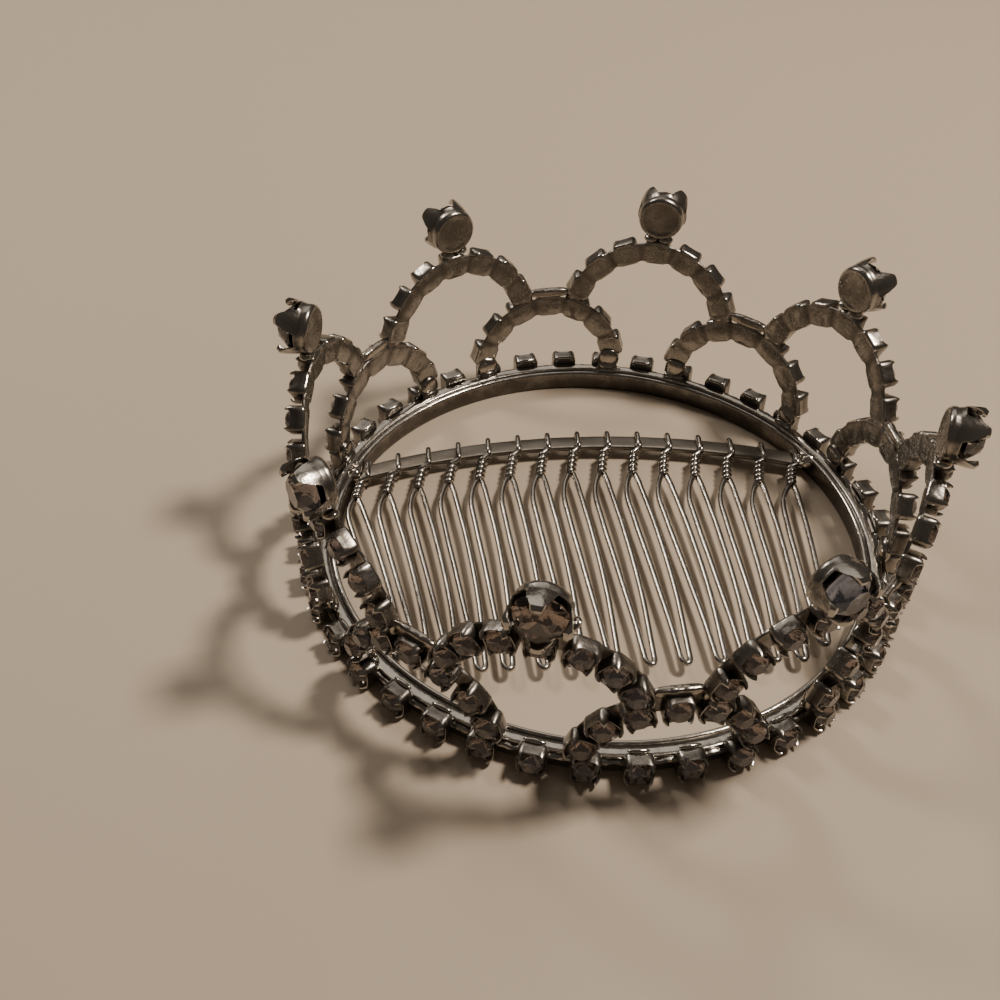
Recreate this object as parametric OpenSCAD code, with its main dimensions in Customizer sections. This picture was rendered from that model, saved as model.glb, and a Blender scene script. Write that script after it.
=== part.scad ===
// Round crown tiara of stone settings, soldered on a flat ring that carries a wire hair comb.
// Millimetres, +Z up. The origin is the centre of the ring, on the plane the ring stands on.
// Azimuths run from +Y towards +X. Small arch 1 stands at azimuth 0 and the rest follow every 45.

/* [Ring] */
// Radius of the ring's inner face
ring_inner_r = 32; // [32:0.1:34]
// Width of the ring, inner face to the settings' backs
ring_t = 2.2; // [1.8:0.1:2.6]
// Height of the ring
ring_h = 2.65; // [2.4:0.05:3.2]
// Rounding of the ring's edges
ring_round = 0.25; // [0.1:0.05:0.4]

/* [Small settings] */
// Width of one square setting
cup_w = 3.25; // [2.6:0.05:3.4]
// Depth of one setting's wall, back to rim
cup_d = 1.9; // [1.6:0.1:2.4]
// Height of the corner claws above the rim
claw_h = 0.65; // [0.3:0.05:0.9]
// Diameter of a small stone
stone_d = 2.75; // [2:0.05:2.8]
// Settings along each eighth of the ring
cups_per_eighth = 5; // [3:1:5]
// Height of the ring settings' centre
ring_cup_z = 1.95; // [1.7:0.05:2.4]
// Depth of the bars between the ring's settings
link_d = 0.6; // [0.3:0.1:1]

/* [Arches] */
// Settings in each arch
arch_cups = 7; // [5:1:7]
// Centre-line radius of a small arch
small_arch_r = 9.4; // [9.4:0.1:10]
// Height of a small arch's centre
small_arch_z = 2.9; // [2.5:0.1:4]
// Angle between neighbouring settings in a small arch
small_arch_step = 24.2; // [22:0.1:25]
// Centre-line radius of a large arch
large_arch_r = 10.4; // [10.2:0.1:11]
// Height of a large arch's centre
large_arch_z = 10.55; // [10.3:0.05:12]
// Angle between neighbouring settings in a large arch
large_arch_step = 21.9; // [20:0.1:22]
// Outward lean of the arches
lean = 2; // [0:0.5:10]

/* [Top settings] */
// Outer diameter of a top setting
top_d = 6.6; // [5.5:0.1:7.5]
// Depth of a top setting, back to rim
top_depth = 3.3; // [2.5:0.1:4]
// Diameter of a top stone
top_stone_d = 5.7; // [4.5:0.1:6]
// Height of the claws above the rim
top_claw_h = 0.9; // [0.5:0.1:1.2]

/* [Comb] */
// Teeth on the comb
teeth = 15; // [9:2:15]
// Distance between neighbouring teeth
tooth_pitch = 4; // [3:0.1:4]
// Turn of the comb inside the ring, seen from above
comb_turn = 4.3; // [-6:0.1:6]
// Distance of the spine's middle from the ring's centre
spine_y = 17.7; // [14.7:0.1:17.7]
// Radius that the spine is bowed to
spine_r = 87.3; // [80:0.1:120]
// Width of the spine's flat strip
spine_w = 2.3; // [1.5:0.1:2.3]
// Thickness of the spine's flat strip
spine_t = 0.8; // [0.5:0.1:1.2]
// Height of the comb's plane
comb_z = 1.65; // [1.5:0.05:2]
// Distance of the tips from the ring's centre
tip_y = 21.4; // [16:0.1:21.5]
// Diameter of the comb's wire
wire_d = 0.65; // [0.4:0.05:0.65]
// Turns of the twist under the spine
twist_turns = 1.25; // [0.25:1:2.25]
// Radius of the solder drops at the spine's ends
drop_r = 1.6; // [1.3:0.1:1.8]

/* [Hidden] */

sectors = 8;
sector = 360 / sectors;
wall_r = ring_inner_r + ring_t;      // plane that every setting's back lies on at the ring
wrap_r = wall_r + 1;                 // radius on which the arches' widths are measured
ring_cups = sectors * cups_per_eighth;
ring_cup_step = 360 / ring_cups;
pocket_w = stone_d + 0.1;            // octagonal pocket, across its flats
pocket_z = 0.6;                      // floor of a small setting
girdle_t = 0.25;
table_z = cup_d + claw_h - 0.05;
claw_w = 0.62;
claw_out = cup_w / 2 - claw_w / 2;
lip_w = 0.55;                        // bright lip round the ring's inner edge
groove_w = 0.3;                      // groove between the lip and the ledge
groove_d = 0.35;
lean_z = ring_cup_z + cup_w / 2 + 0.025;  // height from which the arches lean outward
foot_w = 2.5;
foot_d = 1.7;
foot_h = 1.5;
foot_back = 0.9;                     // the feet reach this far back over the ring's ledge
web_w = 4.2;                         // web of solder on each small arch, between two arches' feet
web_h = 0.7;
top_z = large_arch_z + large_arch_r + cup_w / 2 + top_d / 2 - 0.02;
top_wall = 0.35;
top_floor = 1.1;
top_pocket_w = top_stone_d + 0.12;
top_seat_z = top_depth - 0.9;        // height at which the top pocket becomes straight
scallop_r = 1.9;
pad_w = 2.4;
pad_d = 2;
wire_r = wire_d / 2;
sides = 6;
spine_end_x = 29.1;
drop_gap = 28.65;                    // the drops of solder stay clear of the end teeth
spine_half_angle = asin(spine_end_x / spine_r);
tip_half_gap = 0.52;
strand_r = wire_r + 0.03;            // radius of the twist that the two strands make
twist_top = -2;                      // start and end of the twist, below the spine's centre
twist_end = -6.2;
full_tooth = spine_y + tip_y;
// Sideways shift of a tooth's centre line, by distance below the spine
drift = [[-39, -0.4], [-30, -0.6], [-22, -1], [-15, -1.5], [-9, -1.8], [-6.2, -1.6], [1.5, 0]];
// Half of the gap between a tooth's legs, by distance below the spine
spread = [[-38.4, 0.52], [-34, 0.66], [-28, 0.93], [-22, 1.08], [-14, 1.15], [-9.5, 1.02],
    [-7.6, 0.72], [-6.2, 0.33]];

// ---- placing on the leaning wall ----

function back_r(z) = wall_r + tan(lean) * (z - lean_z);
function arc_deg(u) = u / wrap_r * 180 / PI;

// Puts children on the wall: their +Z faces outward and their +X runs along the arch
module on_wall(azimuth, u, z, turn) {
    rotate([0, 0, -(azimuth + arc_deg(u))])
        translate([0, back_r(z), z])
            rotate([-lean, 0, 0])
                rotate([-90, 0, 0])
                    rotate([0, 0, turn])
                        children();
}

// Runs along an arch and puts children at each of its settings
module along_arch(azimuth, r, z, step) {
    for (i = [0 : arch_cups - 1]) {
        angle = (i - (arch_cups - 1) / 2) * step;
        on_wall(azimuth, r * sin(angle), z + r * cos(angle), angle)
            children();
    }
}

// Puts children half way between an arch's neighbouring settings
module between_cups(azimuth, r, z, step) {
    for (i = [0 : arch_cups - 2]) {
        angle = (i - (arch_cups - 2) / 2) * step;
        on_wall(azimuth, r * sin(angle), z + r * cos(angle), angle)
            children();
    }
}

// Puts children at each setting of the ring
module round_ring() {
    for (i = [0 : ring_cups - 1])
        rotate([0, 0, -(i + 0.5) * ring_cup_step])
            translate([0, wall_r, ring_cup_z])
                rotate([-90, 0, 0])
                    children();
}

// ---- one setting and one stone, backs on z = 0 ----

module cup() {
    difference() {
        translate([-cup_w / 2, -cup_w / 2, 0])
            cube([cup_w, cup_w, cup_d]);
        translate([0, 0, pocket_z])
            rotate([0, 0, 22.5])
                cylinder(d = pocket_w / cos(22.5), h = cup_d, $fn = 8);
    }
    for (sx = [-1, 1], sy = [-1, 1])
        translate([sx * claw_out - claw_w / 2, sy * claw_out - claw_w / 2, cup_d - 0.3])
            cube([claw_w, claw_w, claw_h + 0.3]);
}

module stone(d, culet, girdle_z, table, table_part) {
    rotate_extrude($fn = 32)
        polygon([
            [0, culet],
            [d / 2, girdle_z],
            [d / 2, girdle_z + girdle_t],
            [d / 2 * table_part, table],
            [0, table]
        ]);
}

module small_stone() {
    stone(stone_d, pocket_z + 0.05, cup_d - girdle_t - 0.05, table_z, 0.58);
}

// ---- ring ----

module base_band() {
    color("silver")
        rotate_extrude($fn = 180)
            translate([ring_inner_r, 0])
                polygon([
                    [ring_round, 0],
                    [ring_t - ring_round, 0],
                    [ring_t, ring_round],
                    [ring_t, ring_h],
                    [lip_w + groove_w, ring_h],
                    [lip_w + groove_w, ring_h - groove_d],
                    [lip_w, ring_h - groove_d],
                    [lip_w, ring_h],
                    [ring_round, ring_h],
                    [0, ring_h - ring_round],
                    [0, ring_round]
                ]);
}

module base_cup_chain() {
    color("dimgray") {
        round_ring()
            cup();
        for (i = [0 : ring_cups - 1])
            rotate([0, 0, -i * ring_cup_step])
                translate([-1.3, wall_r, ring_cup_z - 0.6])
                    cube([2.6, link_d, 1.2]);
    }
}

module base_stones() {
    color("lightsteelblue")
        round_ring()
            small_stone();
}

// ---- arches ----

// Settings of one arch, with the solder between their backs
module arch_settings(azimuth, r, z, step) {
    along_arch(azimuth, r, z, step)
        cup();
    between_cups(azimuth, r, z, step)
        translate([-0.8, -1.25, 0.02])
            cube([1.6, 2.5, 1]);
}

// One foot: it stands on the ring's ledge behind a setting and reaches forward over it
module arch_foot() {
    translate([-foot_w / 2, wall_r - foot_back, ring_h])
        cube([foot_w, foot_back - 0.1, lean_z - ring_h + foot_h]);
    translate([-foot_w / 2, wall_r - foot_back, lean_z])
        cube([foot_w, foot_d + foot_back, foot_h]);
}

module small_arch(k) {
    azimuth = (k - 1) * sector;
    foot_u = small_arch_r * sin((arch_cups - 1) / 2 * small_arch_step);
    color("gray") {
        arch_settings(azimuth, small_arch_r, small_arch_z, small_arch_step);
        for (side = [-1, 1])
            rotate([0, 0, -(azimuth + arc_deg(side * foot_u))])
                arch_foot();
        on_wall(azimuth, 0, small_arch_z + small_arch_r + cup_w / 2, 0)
            translate([-web_w / 2, 0.1 - web_h, 0.1])
                cube([web_w, web_h, 1]);
    }
}

module small_arch_stones(k) {
    color("lightsteelblue")
        along_arch((k - 1) * sector, small_arch_r, small_arch_z, small_arch_step)
            small_stone();
}

module large_arch(k) {
    color("gray")
        arch_settings((k - 0.5) * sector, large_arch_r, large_arch_z, large_arch_step);
}

module large_arch_stones(k) {
    color("lightsteelblue")
        along_arch((k - 0.5) * sector, large_arch_r, large_arch_z, large_arch_step)
            small_stone();
}

// ---- top settings ----

module top_setting(k) {
    claw_angle = 45;
    color("gray")
        on_wall((k - 0.5) * sector, 0, top_z, 0) {
            difference() {
                rotate_extrude($fn = 48)
                    polygon([
                        [0, 0],
                        [top_d / 2 - 0.75, 0],
                        [top_d / 2 - 0.35, 0.4],
                        [top_d / 2 - 0.25, 1.2],
                        [top_d / 2, top_depth],
                        [0, top_depth]
                    ]);
                translate([0, 0, top_floor])
                    cylinder(d1 = top_pocket_w - 0.8, d2 = top_pocket_w / cos(15),
                        h = top_seat_z - top_floor, $fn = 12);
                translate([0, 0, top_seat_z - 0.001])
                    cylinder(d = top_pocket_w / cos(15), h = top_depth, $fn = 12);
                for (a = [0 : 90 : 270])
                    rotate([0, 0, a])
                        translate([top_d / 2, 0, top_depth + 0.05])
                            rotate([0, -90, 0])
                                cylinder(r = scallop_r, h = top_d / 4, $fn = 16);
            }
            for (a = [0 : 90 : 270])
                rotate([0, 0, a + claw_angle])
                    translate([top_d / 2 - top_wall, -0.55, top_depth - 0.6])
                        cube([0.45, 1.1, top_claw_h + 0.6]);
            translate([-pad_w / 2, top_d / 2 - 0.6, 0.1])
                cube([pad_w, 0.6, pad_d]);
        }
}

module top_stone(k) {
    color("aliceblue")
        on_wall((k - 0.5) * sector, 0, top_z, 0)
            stone(top_stone_d, top_floor + 0.05, top_depth - 0.75, top_depth + top_claw_h, 0.56);
}

// ---- comb ----

module in_comb_plane() {
    rotate([0, 0, -comb_turn])
        translate([0, 0, comb_z])
            children();
}

// A strip of the given width that follows the spine
module spine_strip(w, t) {
    translate([0, spine_y - spine_r, -t / 2])
        rotate([0, 0, 90 - spine_half_angle])
            rotate_extrude(angle = 2 * spine_half_angle, $fn = 360)
                translate([spine_r - w / 2, 0])
                    square([w, t]);
}

// The room inside the ring, over the comb's whole height
module inside_ring() {
    translate([0, 0, -1.5])
        cylinder(r = ring_inner_r - 0.01, h = 3, $fn = 180);
}

module comb_spine() {
    color("gray")
        in_comb_plane()
            intersection() {
                spine_strip(spine_w, spine_t);
                inside_ring();
            }
}

// A drop of solder that fills the corner between the spine's end and the ring
module solder_drop(side) {
    end_y = spine_y - spine_sag(spine_end_x);
    color("silver")
        in_comb_plane()
            difference() {
                intersection() {
                    hull()
                        for (up = [0, 1.8])
                            translate([side * (spine_end_x + 0.9 - up / 2), end_y + 0.3 + up, 0])
                                sphere(r = drop_r, $fn = 32);
                    inside_ring();
                    translate([side > 0 ? drop_gap : -drop_gap - 6, end_y - 0.9, -1.5])
                        cube([6, 6, 3]);
                }
                spine_strip(spine_w, spine_t);
            }
}

module comb_solder_left() {
    solder_drop(-1);
}

module comb_solder_right() {
    solder_drop(1);
}

function spine_sag(x) = spine_r - sqrt(spine_r * spine_r - x * x);
function unit(v) = v / norm(v);
function tip_x(x) = sign(x) * (abs(x) - 0.25 * max(0, abs(x) - 12));
function tip_level(x) = -tip_y + 0.55 * max(0, abs(x) - 24);

// One strand of the twist, from the spine down
function strand(start, len_k) = [
    for (i = [0 : 7])
        let (
            part = i / 7,
            v = twist_top + (twist_end - twist_top) * part,
            a = start + 360 * twist_turns * part
        )
        [lookup(v, drift) + strand_r * cos(a), v * len_k, strand_r * sin(a)]
];

// One leg, from the twist down to the tip
function leg(side, len_k, lean_x) = [
    for (v = [-7.6, -9.5, -14, -22, -30, -35])
        let (down = (v - twist_end) / (-full_tooth - twist_end))
        [lookup(v, drift) + side * lookup(v, spread) + lean_x * down, v * len_k, 0]
];

// The rounded tip
function tip(len_k, lean_x) = [
    for (a = [180, 225, 270, 315, 360])
        [
            lookup(-full_tooth, drift) + lean_x + tip_half_gap * cos(a),
            -full_tooth * len_k + tip_half_gap + wire_r + tip_half_gap * sin(a),
            0
        ]
];

function reversed(list) = [for (i = [len(list) - 1 : -1 : 0]) list[i]];

// Centre line of one tooth: under the spine, round its back, down one strand and up the other
function tooth_path(len_k, lean_x) =
    let (
        top = spine_t / 2 + wire_r + 0.05,
        back = spine_w / 2 + wire_r + 0.07
    )
    concat(
        [
            [0, 0, -top],
            [0.02, 1.1, -top],
            [0.03, back, -0.5],
            [0.03, back, 0.5],
            [0.02, 1.1, top],
            [0, -0.95, top],
        ],
        strand(90, len_k),
        leg(-1, len_k, lean_x),
        tip(len_k, lean_x),
        reversed(leg(1, len_k, lean_x)),
        reversed(strand(270, len_k)),
        [[0, -0.95, -top], [0, -0.4, -top]]
    );

function tangents(p) = [
    for (i = [0 : len(p) - 1])
        unit(p[min(i + 1, len(p) - 1)] - p[max(i - 1, 0)])
];

// Sides that turn with the path without spinning about it
function side_vectors(t) = [
    for (
        i = 0, n = unit(cross(t[0], [1, 0, 0.1]));
        i < len(t);
        i = i + 1, n = i < len(t) ? unit(n - (n * t[i]) * t[i]) : n
    ) n
];

module swept_wire(path, r) {
    t = tangents(path);
    n = side_vectors(t);
    last = len(path) - 1;
    points = [
        for (i = [0 : last], j = [0 : sides - 1])
            let (a = 360 * j / sides)
            path[i] + r * (cos(a) * n[i] + sin(a) * cross(t[i], n[i]))
    ];
    walls = [
        for (i = [0 : last - 1], j = [0 : sides - 1], half = [0, 1])
            let (
                a = i * sides + j,
                b = i * sides + (j + 1) % sides
            )
            half == 0 ? [a, a + sides, b] : [b, a + sides, b + sides]
    ];
    ends = [
        [for (j = [0 : sides - 1]) j],
        [for (j = [sides - 1 : -1 : 0]) last * sides + j]
    ];
    polyhedron(points = points, faces = concat(walls, ends));
}

module comb_teeth() {
    color("lightgray")
        in_comb_plane()
            for (i = [0 : teeth - 1]) {
                x = (i - (teeth - 1) / 2) * tooth_pitch;
                y = spine_y - spine_sag(x);
                translate([x, y, 0])
                    swept_wire(tooth_path((y - tip_level(x)) / full_tooth, tip_x(x) - x), wire_r);
            }
}

base_band();
base_cup_chain();
base_stones();
small_arch(1);  // small_arch_1
small_arch(2);  // small_arch_2
small_arch(3);  // small_arch_3
small_arch(4);  // small_arch_4
small_arch(5);  // small_arch_5
small_arch(6);  // small_arch_6
small_arch(7);  // small_arch_7
small_arch(8);  // small_arch_8
small_arch_stones(1);  // small_arch_stones_1
small_arch_stones(2);  // small_arch_stones_2
small_arch_stones(3);  // small_arch_stones_3
small_arch_stones(4);  // small_arch_stones_4
small_arch_stones(5);  // small_arch_stones_5
small_arch_stones(6);  // small_arch_stones_6
small_arch_stones(7);  // small_arch_stones_7
small_arch_stones(8);  // small_arch_stones_8
large_arch(1);  // large_arch_1
large_arch(2);  // large_arch_2
large_arch(3);  // large_arch_3
large_arch(4);  // large_arch_4
large_arch(5);  // large_arch_5
large_arch(6);  // large_arch_6
large_arch(7);  // large_arch_7
large_arch(8);  // large_arch_8
large_arch_stones(1);  // large_arch_stones_1
large_arch_stones(2);  // large_arch_stones_2
large_arch_stones(3);  // large_arch_stones_3
large_arch_stones(4);  // large_arch_stones_4
large_arch_stones(5);  // large_arch_stones_5
large_arch_stones(6);  // large_arch_stones_6
large_arch_stones(7);  // large_arch_stones_7
large_arch_stones(8);  // large_arch_stones_8
top_setting(1);  // top_setting_1
top_setting(2);  // top_setting_2
top_setting(3);  // top_setting_3
top_setting(4);  // top_setting_4
top_setting(5);  // top_setting_5
top_setting(6);  // top_setting_6
top_setting(7);  // top_setting_7
top_setting(8);  // top_setting_8
top_stone(1);  // top_stone_1
top_stone(2);  // top_stone_2
top_stone(3);  // top_stone_3
top_stone(4);  // top_stone_4
top_stone(5);  // top_stone_5
top_stone(6);  // top_stone_6
top_stone(7);  // top_stone_7
top_stone(8);  // top_stone_8
comb_spine();
comb_teeth();
comb_solder_left();
comb_solder_right();
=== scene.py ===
"""Looks for a small crown tiara: ring, stone settings, arches, crystals and wire comb."""

import math

import bpy
import numpy as np
from mathutils import Matrix, Vector


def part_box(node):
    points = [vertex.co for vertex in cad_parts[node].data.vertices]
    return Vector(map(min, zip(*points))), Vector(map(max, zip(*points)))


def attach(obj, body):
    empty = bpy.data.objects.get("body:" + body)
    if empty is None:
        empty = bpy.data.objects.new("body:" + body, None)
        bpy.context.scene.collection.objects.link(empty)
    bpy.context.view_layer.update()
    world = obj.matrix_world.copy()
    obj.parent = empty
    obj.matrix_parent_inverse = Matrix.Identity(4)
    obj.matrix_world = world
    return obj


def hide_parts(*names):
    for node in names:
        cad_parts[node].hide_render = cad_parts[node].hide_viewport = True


bl_info = {
    "name": "Crown tiara",
    "version": (1, 0, 0),
    "blender": (4, 5, 0),
    "location": "View3D > Sidebar > Tiara",
    "description": "Ring, stone settings, arches, crystals and wire comb of a small crown tiara",
    "category": "Add Mesh",
}

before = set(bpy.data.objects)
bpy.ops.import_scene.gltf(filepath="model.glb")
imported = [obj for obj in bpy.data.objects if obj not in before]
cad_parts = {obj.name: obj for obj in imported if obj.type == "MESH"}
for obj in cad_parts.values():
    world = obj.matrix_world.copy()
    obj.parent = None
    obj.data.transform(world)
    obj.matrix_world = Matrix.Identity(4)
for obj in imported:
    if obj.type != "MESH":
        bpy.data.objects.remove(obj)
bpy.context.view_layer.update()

MM = 0.001
TAU = 2 * math.pi
SECTORS = 8
SECTOR = 360 / SECTORS
RING_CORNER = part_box("base_band")[1]
RING_OUTER, RING_HEIGHT = RING_CORNER.x, RING_CORNER.z
ARC_RADIUS = RING_OUTER + MM  # lengths along the crown's wall become angles on this radius
LEAN_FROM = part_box("base_cup_chain")[1].z  # the wall leans outward above this height
PLATING_CREASE, SOLDER_CREASE = 38, 60  # edges sharper than this many degrees stay sharp


# ---- sizes and colours ----


def length(name, description, default, low=0.0):
    """A length property in metres, given in millimetres."""
    return bpy.props.FloatProperty(
        name=name, description=description, default=default * MM, min=low * MM, unit="LENGTH",
        precision=5,
    )


def angle(name, description, default):
    """An angle property, given in degrees."""
    return bpy.props.FloatProperty(
        name=name, description=description, default=math.radians(default), unit="ROTATION"
    )


def colour(name, description, default):
    """A linear colour property."""
    return bpy.props.FloatVectorProperty(
        name=name, description=description, default=default, size=3, min=0, max=1,
        subtype="COLOR",
    )


def share(name, description, default):
    """A property between 0 and 1."""
    return bpy.props.FloatProperty(
        name=name, description=description, default=default, min=0, max=1, subtype="FACTOR"
    )


class RingSizes(bpy.types.PropertyGroup):
    """The flat ring and the settings round it."""

    outer: bpy.props.FloatProperty(
        name="Outer radius", description="Radius of the ring's outer face",
        default=RING_OUTER, unit="LENGTH", precision=5,
    )
    height: bpy.props.FloatProperty(
        name="Height", description="Height of the ring's strip", default=RING_HEIGHT,
        unit="LENGTH", precision=5,
    )
    width: length("Width", "Width of the ring, seen from above", 2.2)
    lip: length("Lip", "Width of the bright lip round the inner edge", 0.55)
    groove: length("Groove", "Depth of the groove between lip and ledge", 0.32)
    count: bpy.props.IntProperty(
        name="Settings", description="Settings round the ring", default=40, min=8
    )
    cup_height: length("Setting height", "Height of the ring settings' centre", 1.95)


class SettingSizes(bpy.types.PropertyGroup):
    """One small square setting and its stone."""

    width: length("Width", "Width of a small square setting", 3.25)
    depth: length("Depth", "Depth of a small setting's wall", 1.9)
    claw: length("Claw", "Height of the claws above the rim", 0.62)
    corner: length("Corner", "Radius of a small setting's corners", 0.7)
    side: length("Side", "Height of a small setting's wall half way along a side", 1.72)
    stone: length("Stone", "Diameter of a small stone", 2.9)
    table: length("Table", "Height of a small stone's table", 2.46)


class ArchSizes(bpy.types.PropertyGroup):
    """The small and the large arches."""

    cups: bpy.props.IntProperty(
        name="Settings", description="Settings in each arch", default=7, min=3
    )
    lean: angle("Lean", "Outward lean of the arches", 2)
    small_radius: length("Small radius", "Centre-line radius of a small arch", 9.4)
    small_height: length("Small height", "Height of a small arch's centre", 2.9)
    small_step: angle("Small step", "Angle between a small arch's settings", 24.2)
    large_radius: length("Large radius", "Centre-line radius of a large arch", 10.4)
    large_height: length("Large height", "Height of a large arch's centre", 10.55)
    large_step: angle("Large step", "Angle between a large arch's settings", 21.9)


class TopSizes(bpy.types.PropertyGroup):
    """One round setting on top of a large arch and its stone."""

    diameter: length("Diameter", "Outer diameter of a top setting", 6.6)
    disc: length("Disc", "Diameter of the flat back disc", 5.1)
    depth: length("Depth", "Depth of a top setting's wall", 3.3)
    window: length("Window", "Height of the wall under the openings between the claws", 1.6)
    claw: length("Claw", "Height of the claws above the rim", 0.88)
    stone: length("Stone", "Diameter of a top stone", 5.7)
    height: length("Height", "Height of the top settings' centres", 25.855)


class CombSizes(bpy.types.PropertyGroup):
    """The comb's spine and teeth."""

    teeth: bpy.props.IntProperty(
        name="Teeth", description="Teeth on the comb", default=15, min=3
    )
    pitch: length("Pitch", "Distance between neighbouring teeth", 4.0)
    turn: angle("Turn", "Turn of the comb inside the ring", 4.3)
    plane: length("Plane", "Height of the comb's plane", 1.65)
    spine_y: length("Spine distance", "Spine's middle to the ring's centre", 17.7)
    spine_radius: length("Spine radius", "Radius that the spine is bowed to", 87.3)
    spine_half: length("Spine half length", "Half of the spine's length", 29.1)
    spine_width: length("Spine width", "Width of the spine's strip", 2.3)
    spine_thickness: length("Spine thickness", "Thickness of the spine's strip", 0.8)
    tip_y: length("Tip distance", "Tips to the ring's centre", 21.4)
    wire: length("Wire", "Diameter of the comb's wire", 0.72)
    turns: bpy.props.FloatProperty(
        name="Twist", description="Turns of the twist under the spine", default=2.25
    )


class Finishes(bpy.types.PropertyGroup):
    """Colours of metal, stones and floor."""

    silver: colour("Silver", "Plating where it is still bright", (0.50, 0.475, 0.44))
    # The dark end of each plating: tarnish, and painted shade where the mesh's mask is high.
    tarnish_and_shade: colour("Tarnish", "Plating where it has darkened", (0.100, 0.090, 0.081))
    polish: colour("Polish", "Worn bright plating of ring and wire", (0.56, 0.53, 0.49))
    solder: colour("Solder", "Shiny solder", (0.66, 0.61, 0.55))
    satin: colour("Satin strip", "Spine of the comb", (0.27, 0.25, 0.22))
    foil: colour("Foil", "Foil behind the stones", (0.52, 0.46, 0.42))
    aged: colour("Aged foil", "Foil where it has turned brown", (0.17, 0.145, 0.125))
    glass: colour("Glass", "Clear glass of the stones", (0.94, 0.92, 0.90))
    blush: colour("Blush", "Pink side of the stones' coat", (0.54, 0.45, 0.43))
    ice: colour("Ice", "Blue side of the stones' coat", (0.38, 0.45, 0.62))
    floor: colour("Floor", "Plain pale floor", (0.60, 0.505, 0.40))
    roughness: share("Roughness", "Roughness of the plating", 0.16)


# ---- meshes from arrays ----


def place(points, azimuth, radius, height, lean=0.0, turn=0.0):
    """Moves points from a setting's own frame onto the crown's wall. In its frame x runs along the
    arch, y points down the wall and z outward. They are turned about z by turn, tipped outward
    by lean, moved out by radius and up by height, then carried clockwise by azimuth. Angles in
    radians."""
    x, y, z = points[..., 0], points[..., 1], points[..., 2]
    x, y = x * math.cos(turn) - y * math.sin(turn), x * math.sin(turn) + y * math.cos(turn)
    out = radius + z * math.cos(lean) - y * math.sin(lean)
    up = height - z * math.sin(lean) - y * math.cos(lean)
    return np.stack(
        [
            x * math.cos(azimuth) + out * math.sin(azimuth),
            out * math.cos(azimuth) - x * math.sin(azimuth),
            up,
        ],
        -1,
    )


def quads(rows, columns, wrap):
    """Corner numbers of the cells of a grid stored row by row. With wrap, the last column joins
    the first."""
    i = np.arange(rows - 1)[:, None]
    j = np.arange(columns if wrap else columns - 1)[None, :]
    a = i * columns + j
    b = i * columns + (j + 1) % columns
    return np.stack([a, b, b + columns, a + columns], -1).reshape(-1, 4)


def fan(pole, start, columns, flip):
    """Triangles from one pole to a closed row of the grid."""
    a = start + np.arange(columns)
    b = start + (np.arange(columns) + 1) % columns
    p = np.full(columns, pole)
    return np.stack([p, a, b] if flip else [p, b, a], -1)


def shell(grid, first=None, last=None):
    """A skin of closed rows, with a pole at either end when one is given. Returns its points and
    faces. Rows run from the back to the front, and columns anticlockwise seen from the front."""
    rows, columns = grid.shape[:2]
    points = grid.reshape(-1, 3)
    faces = [quads(rows, columns, True)]
    if first is not None:
        faces.append(fan(len(points), 0, columns, False))
        points = np.vstack([points, first])
    if last is not None:
        faces.append(fan(len(points), (rows - 1) * columns, columns, True))
        points = np.vstack([points, last])
    return points, faces


class Patchwork:
    """Gathers skins with their tarnish, painted light and shade, and tint, and makes one mesh piece
    of them.
    """

    def __init__(self):
        self.points, self.faces, self.stain, self.tint, self.finish = [], [], [], [], []
        self.count = 0

    def add(self, points, faces, stain=0.3, tint=0.5, finish=0):
        """Adds one skin. Its mask of tarnish with painted light and shade is one value or one for
        each point, tint is one value, and finish numbers the material of each list of faces."""
        finishes = finish if isinstance(finish, (list, tuple)) else [finish] * len(faces)
        for cells, number in zip(faces, finishes):
            self.faces += (cells + self.count).tolist()
            self.finish += [number] * len(cells)
        self.points.append(points)
        self.stain.append(np.broadcast_to(stain, len(points)))
        self.tint.append(np.broadcast_to(tint, len(points)))
        self.count += len(points)

    def piece(self, name, materials, replaces, crease=None):
        """Makes the object, lets it ride on the root body and stand for its CAD nodes. crease is
        the angle in degrees above which an edge stays sharp. Without it every face is flat."""
        mesh = bpy.data.meshes.new(name)
        mesh.from_pydata(np.vstack(self.points).tolist(), [], self.faces)
        mesh.update()
        for label, values in (("stain", self.stain), ("tint", self.tint)):
            layer = mesh.attributes.new(label, "FLOAT", "POINT")
            layer.data.foreach_set("value", np.concatenate(values).astype(np.float32))
        mesh.polygons.foreach_set("material_index", np.array(self.finish, np.int32))
        smooth = np.full(len(mesh.polygons), crease is not None)
        mesh.polygons.foreach_set("use_smooth", smooth)
        if crease:
            mesh.set_sharp_from_angle(angle=math.radians(crease))
        for material in materials:
            mesh.materials.append(material)
        thing = bpy.data.objects.new(name, mesh)
        bpy.context.scene.collection.objects.link(thing)
        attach(thing, "root")
        if replaces:
            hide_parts(*replaces)
        return thing


def lumps(points, size, height, seed):
    """A smooth uneven field: the mean of five sine waves that run in random directions, with
    wavelengths near size. It lies between -height and height."""
    spread = np.random.default_rng(seed)
    ways = spread.normal(size=(5, 3))
    ways *= TAU / size / np.linalg.norm(ways, axis=1)[:, None] * spread.uniform(0.7, 1.5, (5, 1))
    return height * np.sin(points @ ways.T + spread.uniform(0, TAU, 5)).mean(-1)


def through(x, knots):
    """A smooth curve through knots (x, y) with rising x: a cubic between each pair, whose slope
    at a knot is that of the line between its neighbours."""
    kx, ky = np.array(knots, float).T
    slope = np.gradient(ky, kx)
    i = np.clip(np.searchsorted(kx, x) - 1, 0, len(kx) - 2)
    h = kx[i + 1] - kx[i]
    t = (x - kx[i]) / h
    return (
        (1 + 2 * t) * (1 - t) ** 2 * ky[i]
        + t * (1 - t) ** 2 * h * slope[i]
        + t * t * (3 - 2 * t) * ky[i + 1]
        + t * t * (t - 1) * h * slope[i + 1]
    )


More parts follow.
